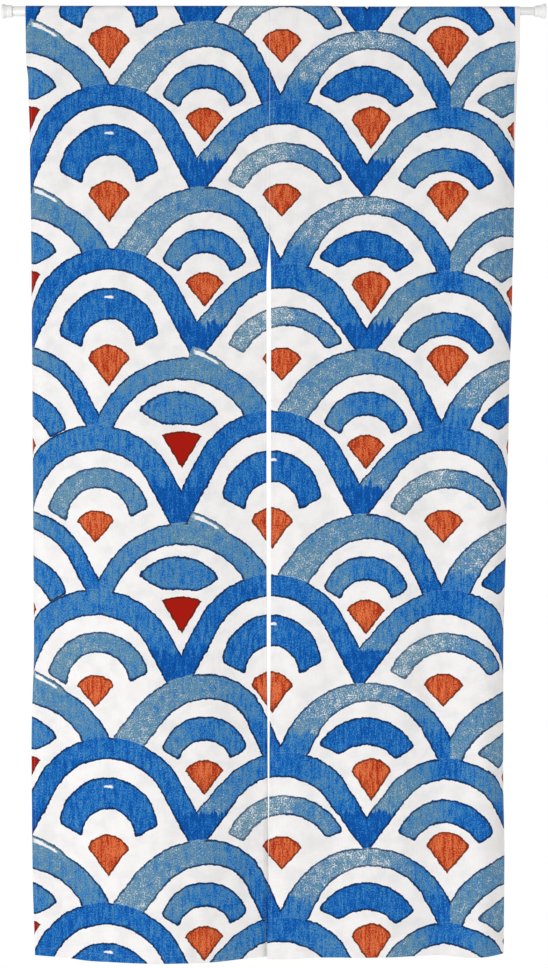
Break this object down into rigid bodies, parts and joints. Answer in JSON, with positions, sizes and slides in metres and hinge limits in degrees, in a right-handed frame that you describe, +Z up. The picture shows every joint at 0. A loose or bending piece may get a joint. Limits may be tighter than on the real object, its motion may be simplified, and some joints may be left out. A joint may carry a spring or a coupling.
{
  "type": "noren curtain on tension rod",
  "caption": "Two-panel noren door curtain printed with overlapping wave scales, its rod pocket threaded on a white spring tension rod with flared end feet.",
  "frame": {"origin": "the middle of the left end foot's pad, on the rod's axis", "axes": "+X along the rod to the right end foot, +Z up, -Y out of the printed front"},
  "size_m": [0.937, 0.0606, 1.6488],
  "materials": {
    "cloth": "matte",
    "tube": "satin",
    "cap": "satin"
  },
  "bodies": {
    "root": {"panel_left": "cloth", "panel_right": "cloth", "rod_outer_tube": "tube", "rod_inner_tube": "tube", "end_cap_left": "cap", "end_cap_right": "cap"}
  },
  "joints": []
}
